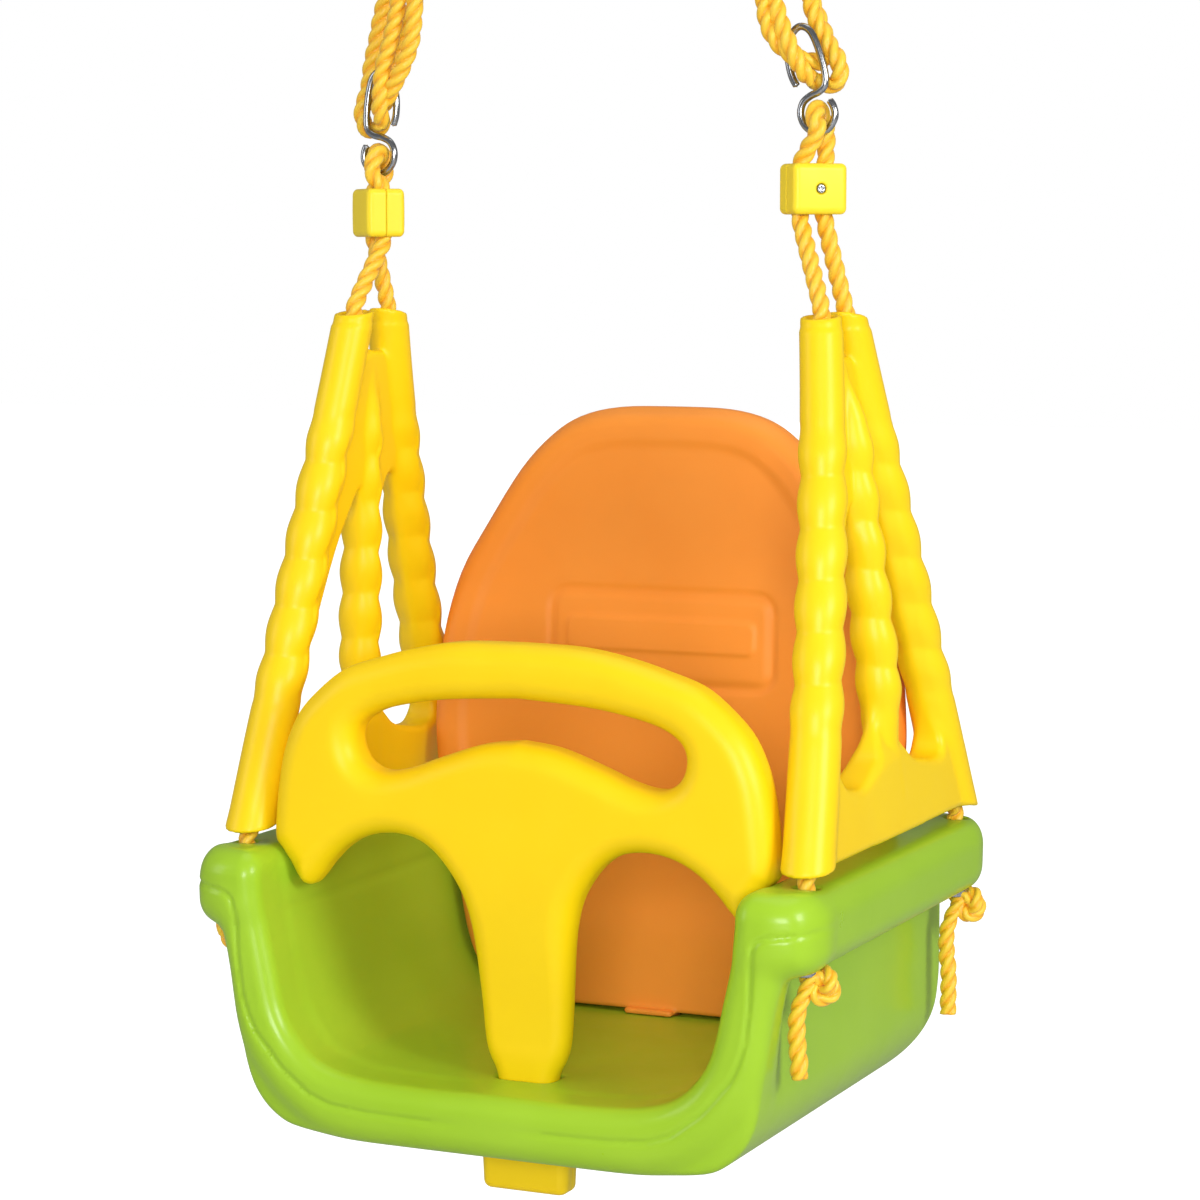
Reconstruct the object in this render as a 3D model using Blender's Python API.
"""Toddler bucket swing: moulded bucket seat, backrest, T-shaped front guard, two A-shaped
side frames, ropes with ferrules and clamps, S-hooks, hanger slings and hanging rings.

Frame: +X to the child's left, which is the right seen from the front, +Y towards the
backrest, +Z up. "right" in a name means +X. Origin: middle of the flat underside of the
seat, straight below the line through the two hooks. Lengths in mm.
"""

import math
from collections import namedtuple

import bmesh
import bpy
from mathutils import Matrix, Vector
from mathutils.geometry import tessellate_polygon

for old in list(bpy.data.objects):
    bpy.data.objects.remove(old, do_unlink=True)

MM = 0.001
X_AXIS, Y_AXIS, Z_AXIS = Vector((1, 0, 0)), Vector((0, 1, 0)), Vector((0, 0, 1))
SIDES = ((1, "right"), (-1, "left"))

# ---- shared dimensions (mm); heights are from a datum above the seat's underside ----
UNDERSIDE = -11.0  # flat underside of the seat; the last step raises it to zero
GAP = 0.3  # between touching pieces
ROPE_R = 5.0
HOLE_X = 165.0  # rope holes, either side of the symmetry plane
FRONT_Y, REAR_Y = -104.0, 136.0  # rope holes, fore and aft
RAIL_TOP = 140.0
RAIL_UNDER = RAIL_TOP - 40.0
POST_Y = -87.5  # foot of the guard's centre post
TAB_Y = 88.0  # tab under the backrest
WIRE_R = 2.0  # S-hook wire

# places that differ between the sides, by sign of x
CLAMP_AT = {1: Vector((126.5, 0.0, 497.2)), -1: Vector((-136.0, 0.0, 485.6))}
HOOK_AT = {1: Vector((126.5, 0.0, 547.5)), -1: Vector((-135.0, 0.0, 528.5))}
HOOK_LEAN = {1: math.radians(13), -1: math.radians(2)}

# ---- finishes ----
Finish = namedtuple("Finish", "colour roughness metallic", defaults=(0.0,))
STEEL_COLOUR = (0.62, 0.64, 0.66)
GREEN_PLASTIC = Finish(colour=(0.35, 0.58, 0.03), roughness=0.3)
YELLOW_PLASTIC = Finish(colour=(1.0, 0.72, 0.01), roughness=0.3)
ORANGE_PLASTIC = Finish(colour=(0.9, 0.27, 0.03), roughness=0.45)
ROPE_FIBRE = Finish(colour=(0.95, 0.45, 0.01), roughness=0.6)
HOOK_STEEL = Finish(colour=STEEL_COLOUR, roughness=0.15, metallic=1.0)
FITTING_STEEL = Finish(colour=STEEL_COLOUR, roughness=0.25, metallic=1.0)
RING_STEEL = Finish(colour=STEEL_COLOUR, roughness=0.3, metallic=1.0)


def material(name, finish):
    mat = bpy.data.materials.new(name)
    mat.use_nodes = True
    shader = mat.node_tree.nodes["Principled BSDF"]
    shader.inputs["Base Color"].default_value = (*finish.colour, 1)
    shader.inputs["Roughness"].default_value = finish.roughness
    shader.inputs["Metallic"].default_value = finish.metallic
    return mat


# ---- objects and modifiers ----
def shade(mesh):
    mesh.shade_smooth()
    mesh.set_sharp_from_angle(angle=math.radians(35))


def make(name, bm, finish=None):
    """Turns millimetre geometry into a named object, with its own material if it has a finish."""
    bmesh.ops.remove_doubles(bm, verts=bm.verts, dist=1e-4)
    bmesh.ops.recalc_face_normals(bm, faces=bm.faces)
    bmesh.ops.scale(bm, vec=(MM, MM, MM), verts=bm.verts)
    mesh = bpy.data.meshes.new(name)
    bm.to_mesh(mesh)
    bm.free()
    shade(mesh)
    obj = bpy.data.objects.new(name, mesh)
    bpy.context.scene.collection.objects.link(obj)
    if finish:
        mesh.materials.append(material(name, finish))
    return obj


def helper(name, bm):
    obj = make(name, bm)
    obj.hide_render = True
    obj.display_type = "WIRE"
    return obj


def boolean(obj, other, operation):
    """Applies the object's modifiers and one Boolean, keeps plain mesh and removes the other."""
    modifier = obj.modifiers.new(operation, "BOOLEAN")
    modifier.operation = operation
    modifier.object = other
    modifier.solver = "EXACT"
    graph = bpy.context.evaluated_depsgraph_get()
    mesh = bpy.data.meshes.new_from_object(obj.evaluated_get(graph))
    obj.modifiers.clear()
    obj.data = mesh
    bpy.data.objects.remove(other, do_unlink=True)
    bm = bmesh.new()
    bm.from_mesh(mesh)
    bmesh.ops.remove_doubles(bm, verts=bm.verts, dist=2e-6)
    bmesh.ops.dissolve_degenerate(bm, edges=bm.edges, dist=2e-6)
    bm.to_mesh(mesh)
    bm.free()
    shade(mesh)


def add(obj, name, bm):
    boolean(obj, helper(name, bm), "UNION")


def cut(obj, name, bm):
    boolean(obj, helper(name, bm), "DIFFERENCE")


def bevel(obj, width, segments):
    """Rounds the edges; applied together with the next Boolean."""
    modifier = obj.modifiers.new("Bevel", "BEVEL")
    modifier.width = width * MM
    modifier.segments = segments
    modifier.limit_method = "ANGLE"


# ---- outlines ----
def through(points, closed=True, steps=4):
    """Catmull-Rom curve through the points."""
    count = len(points)
    curve = []
    for i in range(count if closed else count - 1):
        start, end = points[i], points[(i + 1) % count]
        before = points[i - 1] if closed or i else start
        after = points[(i + 2) % count] if closed or i + 2 < count else end
        for k in range(steps):
            t = k / steps
            curve.append(
                tuple(
                    0.5
                    * (
                        2 * b
                        + (c - a) * t
                        + (2 * a - 5 * b + 4 * c - d) * t * t
                        + (3 * b - a - 3 * c + d) * t**3
                    )
                    for a, b, c, d in zip(before, start, end, after)
                )
            )
    if not closed:
        curve.append(tuple(points[-1]))
    return curve


def arc(centre_u, centre_v, radius, start, end, steps):
    """Points of an arc, with its angles in degrees."""
    angles = [math.radians(start + (end - start) * k / steps) for k in range(steps + 1)]
    return [(centre_u + radius * math.cos(a), centre_v + radius * math.sin(a)) for a in angles]


def on_side(points, side):
    return [(side * x, v) for x, v in points]


def flipped(points):
    """The same points mirrored in x, in reverse order, to carry on an outline."""
    return on_side(points, -1)[::-1]


def wound(loop, turn):
    """The loop running anticlockwise for turn 1, clockwise for turn -1."""
    area = sum(a[0] * b[1] - b[0] * a[1] for a, b in zip(loop, loop[1:] + loop[:1])) / 2
    return loop if area * turn > 0 else loop[::-1]


def inset(loop, amount, rounding):
    """Moves each point of a loop into the material, to the left of its run.

    Where the material is narrow or the corner is tight it moves less.
    """
    count = len(loop)
    points = [Vector(p) for p in loop]
    normals = []
    for i in range(count):
        tangent = (points[(i + 1) % count] - points[i - 1]).normalized()
        normals.append(Vector((-tangent.y, tangent.x)))
    # room: most of the radius of the largest circle touching the loop here and inside it
    room = []
    for i in range(count):
        reach = 1e3
        for j in range(count):
            chord = points[j] - points[i]
            inward = chord.dot(normals[i])
            if j != i and inward > 1e-6:
                reach = min(reach, chord.length_squared / (2 * inward))
        room.append(0.8 * reach)
    # keep a point from moving much further than its neighbours
    for _ in range(4):
        room = [
            min(room[i], (room[i - 1] + room[(i + 1) % count]) / 2 + 1) for i in range(count)
        ]
    return [
        tuple(points[i] + normals[i] * amount * min(1.0, room[i] / rounding))
        for i in range(count)
    ]


# ---- solids ----
def skin(bm, low, high):
    """Faces between two closed rings of vertices."""
    count = len(low)
    for i in range(count):
        j = (i + 1) % count
        bm.faces.new((low[i], low[j], high[j], high[i]))


def cap(bm, loops, *ends):
    """Triangles over flat loops, on each of the lists of vertices given."""
    flat = [[Vector((u, v, 0)) for u, v in loop] for loop in loops]
    for triangle in tessellate_polygon(flat):
        for verts in ends:
            bm.faces.new([verts[i] for i in triangle])


def pillow(outer, holes, half, rounding, segments, place):
    """A plate with rounded rims: loops in (u, v), thickness along w, mapped by place(u, v, w)."""
    loops = [wound(outer, 1)] + [wound(hole, -1) for hole in holes]
    bm = bmesh.new()
    levels = []
    for k in range(segments + 1):
        angle = math.pi / 2 * k / segments
        levels.append((rounding * (1 - math.sin(angle)), half - rounding * (1 - math.cos(angle))))
    rings = []
    for amount, w in levels + [(amount, -w) for amount, w in reversed(levels)]:
        level = []
        for loop in loops:
            moved = inset(loop, amount, rounding) if amount > 1e-6 else loop
            level.append([bm.verts.new(place(u, v, w)) for u, v in moved])
        rings.append(level)
    for low, high in zip(rings, rings[1:]):
        for low_ring, high_ring in zip(low, high):
            skin(bm, low_ring, high_ring)
    face_loops = [inset(loop, rounding, rounding) for loop in loops]
    for level in (rings[0], rings[-1]):
        cap(bm, face_loops, [vert for ring in level for vert in ring])
    return bm


def prism(loop, place, low, high):
    """A straight prism over one loop, from w = low to w = high."""
    bm = bmesh.new()
    low_ring = [bm.verts.new(place(u, v, low)) for u, v in loop]
    high_ring = [bm.verts.new(place(u, v, high)) for u, v in loop]
    skin(bm, low_ring, high_ring)
    cap(bm, [loop], low_ring, high_ring)
    return bm


def along_x(u, v, w):
    return (w, u, v)


def along_y(u, v, w):
    return (u, w, v)


def along_z(u, v, w):
    return (u, v, w)


def sweep(path, radii, sides=8, closed=False, start=X_AXIS):
    """A round tube along a path, with one radius or one for each point."""
    points = [Vector(p) for p in path]
    count = len(points)
    if not hasattr(radii, "__len__"):
        radii = [radii] * count
    bm = bmesh.new()
    across = start
    rings = []
    for i in range(count):
        before = points[i - 1] if closed or i else points[i]
        after = points[(i + 1) % count] if closed or i < count - 1 else points[i]
        tangent = (after - before).normalized()
        across = (across - across.dot(tangent) * tangent).normalized()
        up = tangent.cross(across)
        angles = [2 * math.pi * (k + 0.5) / sides for k in range(sides)]
        rings.append(
            [
                bm.verts.new(points[i] + radii[i] * (math.cos(a) * across + math.sin(a) * up))
                for a in angles
            ]
        )
    for low, high in zip(rings, rings[1:]):
        skin(bm, low, high)
    if closed:
        skin(bm, rings[-1], rings[0])
    else:
        bm.faces.new(rings[0])
        bm.faces.new(rings[-1])
    return bm


def rod(x, y, bottom, top, radius, sides):
    """An upright round bar."""
    return sweep([(x, y, bottom), (x, y, top)], radius, sides)


def block(low, high):
    bm = bmesh.new()
    bmesh.ops.create_cube(bm, size=1)
    for v in bm.verts:
        v.co = Vector(((v.co[i] + 0.5) * (high[i] - low[i]) + low[i]) for i in range(3))
    return bm


def middle_block(y, half_x, half_y, bottom, top):
    """A block on the symmetry plane, centred at y."""
    return block((-half_x, y - half_y, bottom), (half_x, y + half_y, top))


# ---- bucket seat: one shell with a floor, two side panels, rails and a front lip ----
SEAT_FRONT, SEAT_REAR = -143.0, 160.0
SHELL_REAR = SEAT_REAR - 1
RAIL_IN, RAIL_OUT = 138.0, 184.0
RAIL_PLAN_R = 34  # outer corners of the rail seen from above
LIP_BACK = -113.0
LIP_R = 85.0
LIP_UNDER = UNDERSIDE - 0.5
PANEL_X = 150
PANEL_R = 42.0
REAR_CORNER_R = 68.0
ROPE_HOLE_R = 6.6

# (x, z) down the right half of the trough's inner face
INNER_WALL = [
    (RAIL_IN, RAIL_TOP - 16), (131, 83), (125, 57), (117, 42), (106, 31.5), (92, 25.5), (72, 22),
]
# (x, z) down the right half of the outer face: at the side panels, and at the front lip
PANEL_OUTSIDE = [(PANEL_X, 104), *arc(PANEL_X - PANEL_R, UNDERSIDE + PANEL_R, PANEL_R, 0, -90, 9)]
LIP_OUTSIDE = [
    (163, 104),
    (159, 84),
    *arc(157 - LIP_R, LIP_UNDER + LIP_R, LIP_R, 0, -84, 10),
    (60, LIP_UNDER),
]
# (y, z) of the material taken off below the rounded lower rear edge
REAR_CORNER = [
    (SHELL_REAR - REAR_CORNER_R, -40),
    *arc(
        SHELL_REAR - REAR_CORNER_R, UNDERSIDE + REAR_CORNER_R - 0.01, REAR_CORNER_R, -90, -8, 10
    ),
    (SEAT_REAR + 20, 45),
    (SEAT_REAR + 20, -40),
]
# (x, z) section of the right rail
RAIL_SECTION = [
    *arc(RAIL_IN + 17, RAIL_TOP - 17, 17, 180, 90, 6),
    *arc(RAIL_OUT - 15, RAIL_TOP - 15, 15, 90, 0, 5),
    *arc(RAIL_OUT - 13, RAIL_UNDER + 13, 13, 0, -90, 4),
    (RAIL_IN, RAIL_UNDER),
]
# (x, y) plan that rounds the ends of the right rail
RAIL_PLAN = [
    (RAIL_IN - 20, SEAT_FRONT - 5),
    (RAIL_IN - 20, SEAT_REAR + 5),
    (RAIL_IN, SEAT_REAR + 5),
    (RAIL_IN, SEAT_REAR),
    *arc(RAIL_OUT - RAIL_PLAN_R, SEAT_REAR - RAIL_PLAN_R, RAIL_PLAN_R, 90, 0, 6),
    *arc(RAIL_OUT - RAIL_PLAN_R, SEAT_FRONT + RAIL_PLAN_R, RAIL_PLAN_R, 0, -90, 6),
    (RAIL_IN, SEAT_FRONT),
    (RAIL_IN, SEAT_FRONT - 5),
]


def trough(outside, top):
    """U-shaped section between an outer face and the inner wall, cut level at the top."""
    (upper_x, upper_z), (lower_x, lower_z) = INNER_WALL[:2]
    rim_x = lower_x + (upper_x - lower_x) * (top - lower_z) / (upper_z - lower_z)
    right = [(outside[0][0], top), *outside]
    wall = [(rim_x, top)] + INNER_WALL[1:]
    return right + flipped(right) + on_side(wall, -1) + wall[::-1]


def build_seat():
    shell = prism(trough(PANEL_OUTSIDE, top=110), along_y, SEAT_FRONT + 8, SHELL_REAR)
    seat = make("seat_shell", shell, GREEN_PLASTIC)
    add(seat, "lip", prism(trough(LIP_OUTSIDE, top=112), along_y, SEAT_FRONT + 3, LIP_BACK))
    cut(seat, "corner", prism(REAR_CORNER, along_x, -200, 200))
    for side, _ in SIDES:
        rail = helper("rail", prism(on_side(RAIL_SECTION, side), along_y, SEAT_FRONT, SEAT_REAR))
        plan = helper("plan", prism(on_side(RAIL_PLAN, side), along_z, 80, 160))
        boolean(rail, plan, "INTERSECT")
        boolean(seat, rail, "UNION")
        for y in (FRONT_Y, REAR_Y):
            cut(seat, "hole", rod(side * HOLE_X, y, 80, 160, ROPE_HOLE_R, 12))
    cut(seat, "post_slot", middle_block(POST_Y, 17, 11.5, -50, 60))
    cut(seat, "tab_slot", middle_block(TAB_Y, 15, 8, -50, 60))


# ---- rope ferrules under the rails ----
FERRULE_R, FERRULE_BORE_R, FERRULE_H = 9.0, 5.6, 5.0


def build_ferrules(side, word):
    x = side * HOLE_X
    top = RAIL_UNDER - GAP
    for y, end in ((FRONT_Y, "front"), (REAR_Y, "rear")):
        body = rod(x, y, top - FERRULE_H, top, FERRULE_R, 16)
        ferrule = make(f"{word}_{end}_ferrule", body, FITTING_STEEL)
        cut(ferrule, "bore", rod(x, y, top - 20, top + 20, FERRULE_BORE_R, 12))


# ---- backrest ----
BACK_BOTTOM = 23
BACK_FRONT_LOW = 73.0  # y of the front face at the bottom
BACK_SLOPE = math.tan(math.radians(3.0))
BACK_T = 30.0
BACK_RIM, BACK_POCKET = 22.0, 16.0  # rear pocket: width of the rim left round it, and depth
RAISED_H = 2.0  # raised panel on the front face
RAISED_X, RAISED_LOW, RAISED_HIGH, RAISED_R = 56, 226, 262, 10  # its corner centres and radius

# (x, z) up the right edge
BACK_EDGE = [
    (50, 23.5), (84, 26.5), (103, 33), (115, 44), (123, 58), (129, 84), (134, 110), (137, 128),
    (143, 150), (147, 175), (147.5, 200), (143, 238), (132.5, 274), (116, 304), (95, 337),
    (76, 357), (58, 368), (34, 373.5),
]


def back_place(u, v, w):
    return (u, BACK_FRONT_LOW + BACK_T / 2 + w + BACK_SLOPE * (v - BACK_BOTTOM), v)


def build_backrest():
    edge = through(BACK_EDGE, closed=False, steps=2)
    outline = edge + flipped(edge)
    backrest = make("backrest", pillow(outline, [], BACK_T / 2, 9, 2, back_place), ORANGE_PLASTIC)
    pocket = inset(outline, BACK_RIM, BACK_RIM)
    cut(backrest, "pocket", prism(pocket, back_place, BACK_T / 2 - BACK_POCKET, BACK_T / 2 + 6))
    raised = [
        *arc(RAISED_X, RAISED_HIGH, RAISED_R, 0, 90, 3),
        *arc(-RAISED_X, RAISED_HIGH, RAISED_R, 90, 180, 3),
        *arc(-RAISED_X, RAISED_LOW, RAISED_R, 180, 270, 3),
        *arc(RAISED_X, RAISED_LOW, RAISED_R, 270, 360, 3),
    ]
    add(backrest, "raised", prism(raised, back_place, -BACK_T / 2 - RAISED_H, -BACK_T / 2 + 4))
    add(backrest, "tab", middle_block(TAB_Y, 12, 5.5, 8, 30))


# ---- front guard: a T with a hand slot, two leg arches and a centre post ----
GUARD_FRONT, GUARD_BACK = -112.0, -80.0
GUARD_T = GUARD_BACK - GUARD_FRONT
GUARD_ROUND = 11.0
POST_THIN_TOP, POST_THIN_H = 150, 110  # the post thins from this height down, over this length
POST_THIN_FRONT, POST_THIN_BACK = 14.5, 1.5  # backward shift of its faces at the bottom

# (x, z) round the right half of the outline, from the top middle to the foot of the post
GUARD_EDGE = [
    (0, 257.5), (35, 256.5), (62, 252), (84, 246), (104, 239), (120, 227), (132, 214),
    (140, 197), (144, 180), (146.5, 160), (147, 144), (143, 137.5), (138, 130), (135, 124),
    (131, 118.5), (126, 118.5), (121, 123.5), (115, 131), (105, 140.5), (92, 147.5),
    (77, 150.5), (62, 149), (50, 142.5), (40, 131), (33, 117), (28.5, 96), (26.5, 72),
    (25.5, 56), (22, 44), (17, 32), (14, 24),
]
# (x, z) round the right half of the hand slot, from its top middle to its bottom middle
HAND_SLOT_EDGE = [
    (0, 228), (40, 225.5), (66, 221.5), (84, 216.5), (95, 209), (97.5, 199), (93, 189),
    (82, 184), (66, 186.5), (46, 194), (22, 202), (0, 205),
]


def guard_place(u, v, w):
    t = min(1.0, max(0.0, (POST_THIN_TOP - v) / POST_THIN_H))
    thin = t * t * (3 - 2 * t)
    back = GUARD_BACK + POST_THIN_BACK * thin
    front = GUARD_FRONT + POST_THIN_FRONT * thin
    return (u, (front + back) / 2 + w * (back - front) / GUARD_T, v)


def build_guard():
    edge = through(GUARD_EDGE, closed=False, steps=2)
    outline = edge[1:] + flipped(edge[1:]) + edge[:1]
    slot_edge = through(HAND_SLOT_EDGE, closed=False, steps=2)
    slot = slot_edge[1:] + flipped(slot_edge[1:-1]) + slot_edge[:1]
    plate = pillow(outline, [slot], GUARD_T / 2, GUARD_ROUND, 3, guard_place)
    guard = make("front_guard", plate, YELLOW_PLASTIC)
    add(guard, "neck", middle_block(POST_Y, 13.5, 8, UNDERSIDE + 1, 42))
    add(guard, "tongue", middle_block(POST_Y, 12, 4.5, -35, -5))


def build_post_socket():
    """Rounded block under the seat that takes the guard's tongue."""
    body = middle_block(POST_Y, 26, 10, -41, UNDERSIDE - GAP)
    socket = make("post_socket", body, YELLOW_PLASTIC)
    bevel(socket, width=5, segments=3)
    cut(socket, "socket_bore", middle_block(POST_Y, 12.6, 5.1, -36, 10))


# ---- side frames: front tube, rear tube, strut and lower bar in one moulding ----
FRAME_BOTTOM, FRAME_TOP = 8.0, 290.5  # above the rail
FRAME_BOW = (2.0, 4.5)  # tubes at mid-height: outward, and towards the strut
FRAME_LEAN = 0.0873  # inward per unit of height
FRONT_TOP_Y, REAR_TOP_Y = -22.0, 17.0
TUBE_R, TUBE_TOP_R = 13.6, 11.4
TUBE_FOOT_SHIFT = 1.5  # tube skin's foot behind its bore's
BORE_R = 8.2

# (part of the tube's height, radius)
TUBE_STATIONS = (
    (0, TUBE_R - 1.2), (0.03, TUBE_R + 0.5), (0.25, TUBE_R), (0.5, TUBE_R - 0.5),
    (0.75, TUBE_R - 0.8), (0.93, TUBE_TOP_R + 1.2), (0.97, TUBE_TOP_R + 0.4),
    (1.0, TUBE_TOP_R - 1.5),
)
# the frame's plate: (distance behind the front rope hole, height above the rail)
FRAME_OUTLINE = [
    (0, 8), (236, 8), (241, 14), (240, 26), (196, 112), (150, 215), (130, 266), (118, 277),
    (92, 277), (80, 266), (48, 140), (6, 20),
]
FRONT_WINDOW = [
    (47, 45), (66, 42), (84, 47), (98, 58), (102, 74), (103, 110), (104, 145), (105, 172),
    (101, 187), (95, 187), (87, 176), (76, 158), (65, 134), (51, 98), (41, 64), (40, 52),
]
REAR_WINDOW = [
    (136, 64), (146, 51), (168, 44), (190, 42), (200, 47), (199, 62), (187, 88), (171, 122),
    (158, 152), (147, 180), (141, 192), (136, 190), (133, 174), (132, 145), (132, 110),
    (132.5, 80),
]


def tube_point(side, t, rear, shift=0.0):
    """Point on a tube's bowed axis, for t from 0 at the foot to 1 at the top, shifted along y."""
    foot_y, top_y = (REAR_Y, REAR_TOP_Y) if rear else (FRONT_Y, FRONT_TOP_Y)
    height = FRAME_BOTTOM + (FRAME_TOP - FRAME_BOTTOM) * t
    bow = 4 * t * (1 - t)
    x = side * (HOLE_X - FRAME_LEAN * height + FRAME_BOW[0] * bow)
    y = foot_y + (top_y - foot_y) * height / FRAME_TOP + FRAME_BOW[1] * bow * (-1 if rear else 1)
    return Vector((x, y + shift, RAIL_TOP + height))


def build_side_frame(side, word):
    def place(u, v, w):
        # u back from the front hole, v up the leaning plane, w outward
        return (side * (HOLE_X - FRAME_LEAN * v + w), u + FRONT_Y, RAIL_TOP + v)

    windows = [through(FRONT_WINDOW, steps=2), through(REAR_WINDOW, steps=2)]
    plate = pillow(FRAME_OUTLINE, windows, 11.0, 6.0, 2, place)
    frame = make(f"{word}_side_frame", plate, YELLOW_PLASTIC)
    for rear in (False, True):
        points = [tube_point(side, t, rear, TUBE_FOOT_SHIFT * (1 - t)) for t, _ in TUBE_STATIONS]
        add(frame, "tube", sweep(points, [radius for _, radius in TUBE_STATIONS], 16))
    for rear in (False, True):
        points = [tube_point(side, t, rear) for t in (-0.05, 0, 0.25, 0.5, 0.75, 1, 1.05)]
        cut(frame, "bore", sweep(points, BORE_R, 12))


# ---- clamps: two halves and one screw, whose head is in the "outer" half ----
CLAMP = (23.0, 31.0, 27.0)  # across the split, along it, height
CLAMP_SPREAD = 7.0  # rope strands, either side of the screw
CLAMP_YAW = math.radians(46)  # the two clamps are turned opposite ways about Z
CLAMP_SPLIT = 0.2  # each half's distance from the middle of the split


def build_clamp(side, word):
    # drawn at the origin, with the "outer" half on +X, then turned and moved
    turn = Matrix.Rotation(-side * CLAMP_YAW, 4, "Z")
    place = Matrix.Translation(CLAMP_AT[side] * MM) @ turn
    depth, width, height = (size / 2 for size in CLAMP)
    for half, sign, hole_end in (("outer", 1, 40), ("inner", -1, 8)):
        low, high = sorted((sign * CLAMP_SPLIT, sign * depth))
        box = block((low, -width, -height), (high, width, height))
        body = make(f"{word}_clamp_{half}", box, YELLOW_PLASTIC)
        bevel(body, width=1.6, segments=2)
        for y in (-CLAMP_SPREAD, CLAMP_SPREAD):
            cut(body, "channel", rod(0, y, -40, 40, ROPE_R + 0.4, 12))
        hole = [(sign * -3, 0, 0), (sign * hole_end, 0, 0)]
        cut(body, "screw_hole", sweep(hole, 1.45, 8, start=Z_AXIS))
        if half == "outer":
            counterbore = [(depth - 2.2, 0, 0), (depth + 5, 0, 0)]
            cut(body, "counterbore", sweep(counterbore, 3.4, 12, start=Z_AXIS))
        body.data.transform(place)
    # (x, radius) along the shank and the head
    stations = (
        (-7.5, 1.15), (depth - 1.9, 1.15), (depth - 1.85, 3.0), (depth - 0.3, 3.0),
        (depth + 0.2, 2.2),
    )
    path = [(x, 0, 0) for x, _ in stations]
    screw_bm = sweep(path, [radius for _, radius in stations], 12, start=Z_AXIS)
    screw = make(f"{word}_clamp_screw", screw_bm, FITTING_STEEL)
    screw.data.transform(place)


# ---- S-hooks ----
HOOK_LOW, HOOK_TOP = -21.0, 36.5
# (x towards the middle of the swing, z) along the wire, in the hook's own plane
HOOK_PATH = [
    (8.5, 6), (10.2, 13), (9.8, 23), (6.3, 32.5), (0.5, HOOK_TOP), (-4.7, 33.5), (-7.3, 25),
    (-8.5, 12), (-7.6, 4), (-3.5, 0.6), (2, -0.6), (7, -3.2), (9.6, -8.8), (8.6, -15),
    (4.5, -19.7), (0, HOOK_LOW), (-4.8, -19.4), (-9, -14.5), (-9.3, -9), (-7.8, -5),
]


def on_hook(side, x, z):
    """A point of the hook's plane, with the hook leaning towards the middle of the swing."""
    at = HOOK_AT[side]
    cos, sin = math.cos(HOOK_LEAN[side]), math.sin(HOOK_LEAN[side])
    return Vector((at.x - side * (x * cos + z * sin), 0, at.z + z * cos - x * sin))


def build_hook(side, word):
    path = [on_hook(side, x, z) for x, z in through(HOOK_PATH, closed=False, steps=2)]
    make(f"{word}_s_hook", sweep(path, WIRE_R, 8, start=Y_AXIS), HOOK_STEEL)


# ---- seat ropes: knot, front tube, clamp, over the hook, clamp, rear tube, knot ----
KNOT_R = 9.3
FRONT_TAIL_Z, REAR_TAIL_Z = 44, 20  # loose ends below the knots
# (outward from the rope hole, back from it, z, radius) from above the tail to the rail
KNOT_STATIONS = (
    (-4, 1, 66, ROPE_R), (-1, 3, 73, ROPE_R + 0.5), (1, 5, 77, KNOT_R - 1.6),
    (2, 5, 83, KNOT_R), (1, 4, 89, KNOT_R - 2.6), (0, 0, 94, ROPE_R),
    (0, 0, RAIL_TOP + 1, ROPE_R),
)


def half_turn(centre, radius, up):
    """Half circle from the front of the centre to the rear, bulging towards up."""
    angles = [math.radians(a) for a in range(0, 181, 30)]
    return [centre + radius * (math.sin(a) * up - math.cos(a) * Y_AXIS) for a in angles]


def strand(side, rear):
    """(point, radius) pairs from the tail up to the top of the clamp."""
    hole_y, tail_z = (REAR_Y, REAR_TAIL_Z) if rear else (FRONT_Y, FRONT_TAIL_Z)
    stations = [
        ((side * (HOLE_X + outward), hole_y + back, z), radius)
        for outward, back, z, radius in ((-4, 1, tail_z, ROPE_R), *KNOT_STATIONS)
    ]
    stations += [(tube_point(side, t, rear), ROPE_R) for t in (0, 0.25, 0.5, 0.75, 1)]
    across = Vector((side * math.sin(CLAMP_YAW), math.cos(CLAMP_YAW), 0))
    channel = CLAMP_AT[side] + across * (CLAMP_SPREAD if rear else -CLAMP_SPREAD)
    for z in (-CLAMP[2] / 2 - 3, CLAMP[2] / 2 + 0.5):
        stations.append((channel + z * Z_AXIS, ROPE_R))
    return stations


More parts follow.
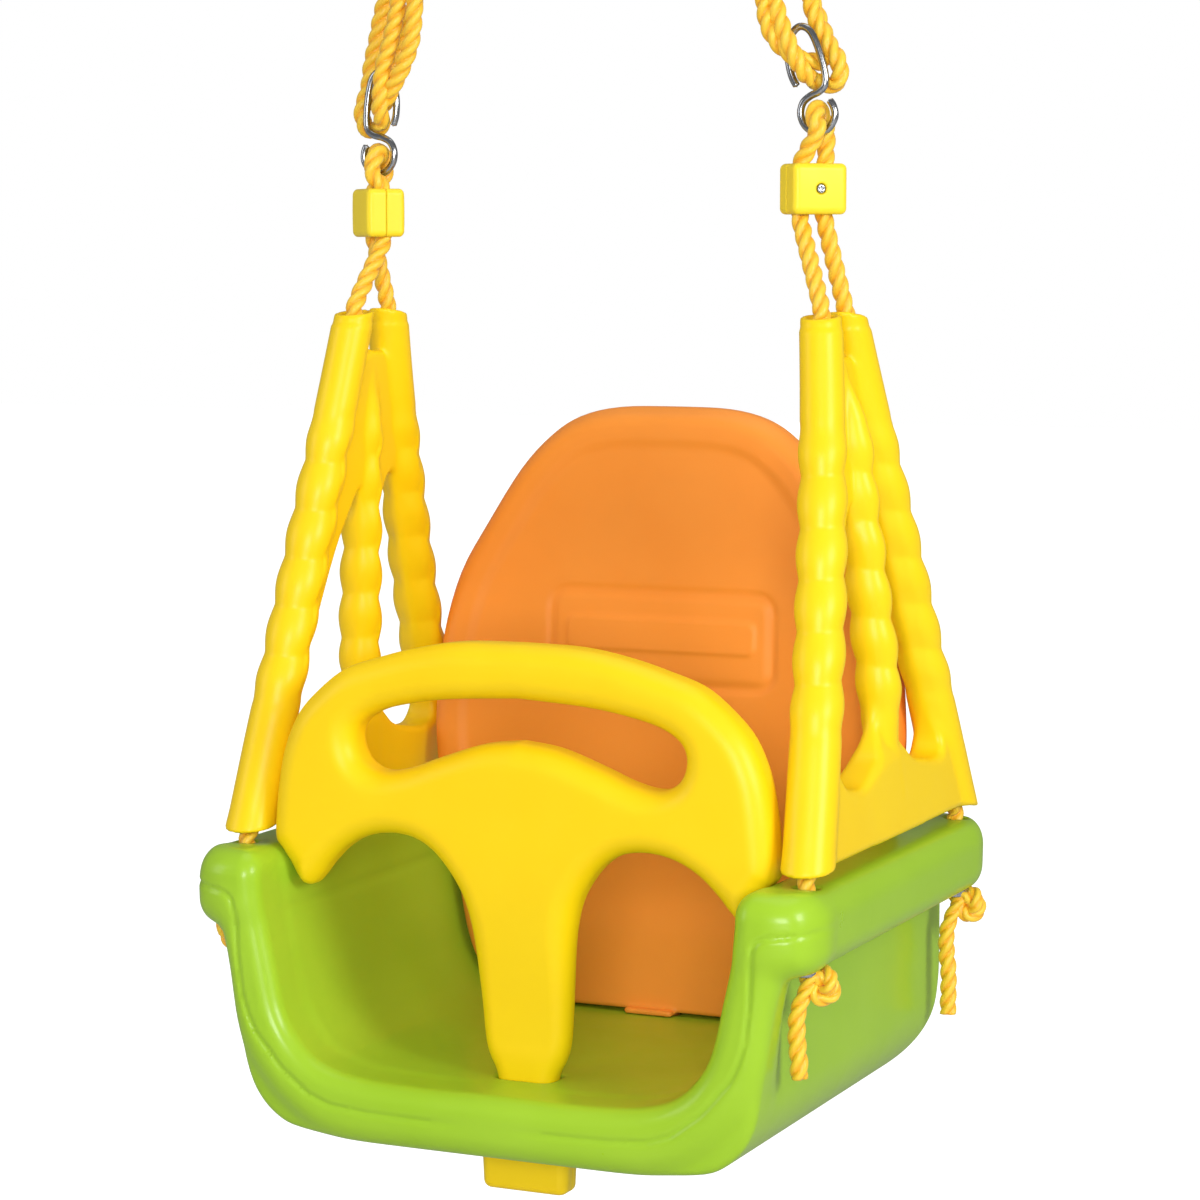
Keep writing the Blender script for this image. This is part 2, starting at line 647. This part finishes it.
def build_seat_rope(side, word):
    low = on_hook(side, 0, HOOK_LOW)
    up = (on_hook(side, 0, 0) - low).normalized()
    bight = [(point, ROPE_R) for point in half_turn(low, WIRE_R + ROPE_R + 1.0, up)]
    stations = strand(side, rear=False) + bight + strand(side, rear=True)[::-1]
    path, radii = zip(*stations)
    make(f"{word}_seat_rope", sweep(path, radii, 8), ROPE_FIBRE)


# ---- hanger slings and hanging rings ----
RING_X, RING_Z = 102.0, 702.5
RING_OUT, RING_IN, RING_T = 22.0, 15.0, 6.0
RING_SECTIONS = 24


def build_hanger_rope(side, word):
    """Closed loop round the top of the hook and the bottom of the ring."""
    ring_bar = Vector((side * RING_X, 0, RING_Z - (RING_OUT + RING_IN) / 2))
    bottom = on_hook(side, 0.9, HOOK_TOP - 9.5)
    up = (ring_bar - bottom).normalized()
    low_r = WIRE_R + ROPE_R + 2.3
    path = half_turn(bottom + low_r * up, low_r, -up)
    path += half_turn(ring_bar, ROPE_R + 5.6, up)[::-1]
    make(f"{word}_hanger_rope", sweep(path, ROPE_R, 8, closed=True), ROPE_FIBRE)


def build_ring(side, word):
    """Flat ring of rectangular section, standing across the swing."""
    centre = Vector((side * RING_X, 0, RING_Z))
    y = RING_T / 2
    section = ((RING_IN, -y), (RING_OUT, -y), (RING_OUT, y), (RING_IN, y))
    bm = bmesh.new()
    rings = []
    for k in range(RING_SECTIONS):
        angle = 2 * math.pi * k / RING_SECTIONS
        cos, sin = math.cos(angle), math.sin(angle)
        rings.append([bm.verts.new(centre + Vector((r * cos, w, r * sin))) for r, w in section])
    for start, end in zip(rings, rings[1:] + rings[:1]):
        skin(bm, start, end)
    make(f"{word}_hanging_ring", bm, RING_STEEL)


build_seat()
build_backrest()
build_guard()
build_post_socket()
for side_sign, side_word in SIDES:
    build_ferrules(side_sign, side_word)
    build_side_frame(side_sign, side_word)
    build_clamp(side_sign, side_word)
    build_hook(side_sign, side_word)
    build_seat_rope(side_sign, side_word)
    build_hanger_rope(side_sign, side_word)
    build_ring(side_sign, side_word)

# raise the whole swing so that the seat's underside is at zero
for obj in bpy.context.scene.collection.objects:
    obj.data.transform(Matrix.Translation((0, 0, -UNDERSIDE * MM)))
